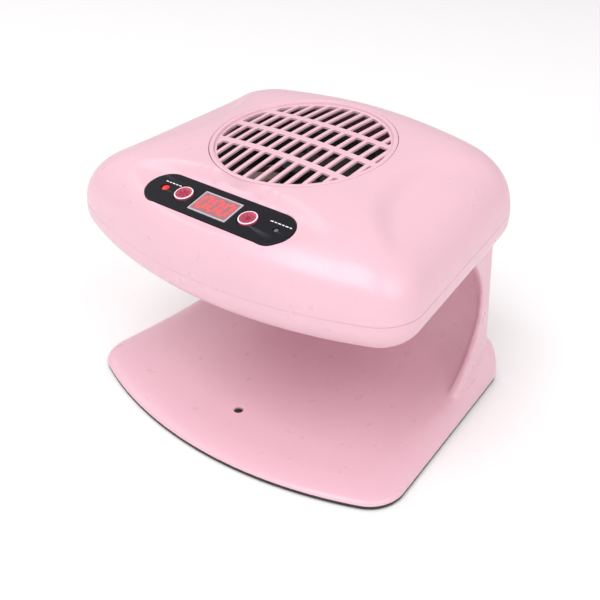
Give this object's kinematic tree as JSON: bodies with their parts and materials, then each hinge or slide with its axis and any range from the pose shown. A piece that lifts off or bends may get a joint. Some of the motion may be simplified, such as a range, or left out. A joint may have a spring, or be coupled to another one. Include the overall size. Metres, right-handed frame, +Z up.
{
  "type": "nail dryer",
  "caption": "Table-top warm and cool air nail dryer: a tray base, a rear column and an overhanging head with a round air intake, a control panel and a fan that blows down on the hand.",
  "frame": {"origin": "middle of the underside, on the plane that the rubber feet stand on", "axes": "+X to the object's right seen from the front, +Y to its rear (the front faces -Y), +Z up"},
  "size_m": [0.29, 0.234, 0.2092],
  "materials": {
    "shell_pink": "smooth gloss",
    "panel_dark": "gloss",
    "display_lens": "clear gloss",
    "button_pink": "gloss",
    "led_red": "clear gloss",
    "led_grey": "clear gloss",
    "black_plastic": "fine texture",
    "steel": "bright",
    "circuit_board": "solder mask",
    "nylon_white": "satin",
    "mica": "matt",
    "copper": "drawn wire",
    "rubber_black": "matt",
    "wire_red": "satin"
  },
  "bodies": {
    "housing": {"upper_shell": "shell_pink", "lower_shell": "shell_pink", "base_shell": "shell_pink", "intake_grille": "shell_pink", "outlet_grille": "shell_pink", "control_panel": "panel_dark", "display_window": "display_lens", "indicator_left": "led_red", "indicator_right": "led_grey", "led_display": "black_plastic", "fan_shroud": "black_plastic", "power_relay": "black_plastic", "inlet_socket": "black_plastic", "power_switch_body": "black_plastic", "sensor_lens": "black_plastic", "bottom_plate": "black_plastic", "cool_switch_body": "steel", "hot_switch_body": "steel", "board_screw_1": "steel", "board_screw_2": "steel", "head_screw_1": "steel", "head_screw_2": "steel", "head_screw_3": "steel", "head_screw_4": "steel", "plate_screw_1": "steel", "plate_screw_2": "steel", "plate_screw_3": "steel", "plate_screw_4": "steel", "fan_motor": "steel", "thermal_cutout": "steel", "heat_sink": "steel", "inlet_pin_left": "steel", "inlet_pin_right": "steel", "control_board": "circuit_board", "power_board": "circuit_board", "sensor_board": "circuit_board", "air_duct": "nylon_white", "heater_frame": "mica", "filter_capacitor": "mica", "heater_coil": "copper", "rubber_foot_1": "rubber_black", "rubber_foot_2": "rubber_black", "rubber_foot_3": "rubber_black", "rubber_foot_4": "rubber_black", "wire_harness": "wire_red"},
    "cool_key": {"cool_button": "button_pink", "cool_switch_plunger": "black_plastic"},
    "hot_key": {"hot_button": "button_pink", "hot_switch_plunger": "black_plastic"},
    "fan": {"fan_rotor": "black_plastic", "fan_shaft": "steel"},
    "rocker": {"power_rocker": "black_plastic"}
  },
  "joints": [
    {"name": "cool_button_press", "type": "slide", "parent": "housing", "child": "cool_key", "axis": [0, 0.2334, -0.9724], "range_m": [0, 0.0008], "stiffness_N_per_m": 800, "springref_m": -0.0006},
    {"name": "hot_button_press", "type": "slide", "parent": "housing", "child": "hot_key", "axis": [0, 0.2334, -0.9724], "range_m": [0, 0.0008], "stiffness_N_per_m": 800, "springref_m": -0.0006},
    {"name": "fan_spin", "type": "hinge", "parent": "housing", "child": "fan", "pos_m": [0, 0.0063, 0.178], "axis": [0, 0, 1], "continuous": true},
    {"name": "power_switch_rock", "type": "hinge", "parent": "housing", "child": "rocker", "pos_m": [0.055, 0.1075, 0.02], "axis": [-1, 0, 0], "range_deg": [0, 20]}
  ]
}
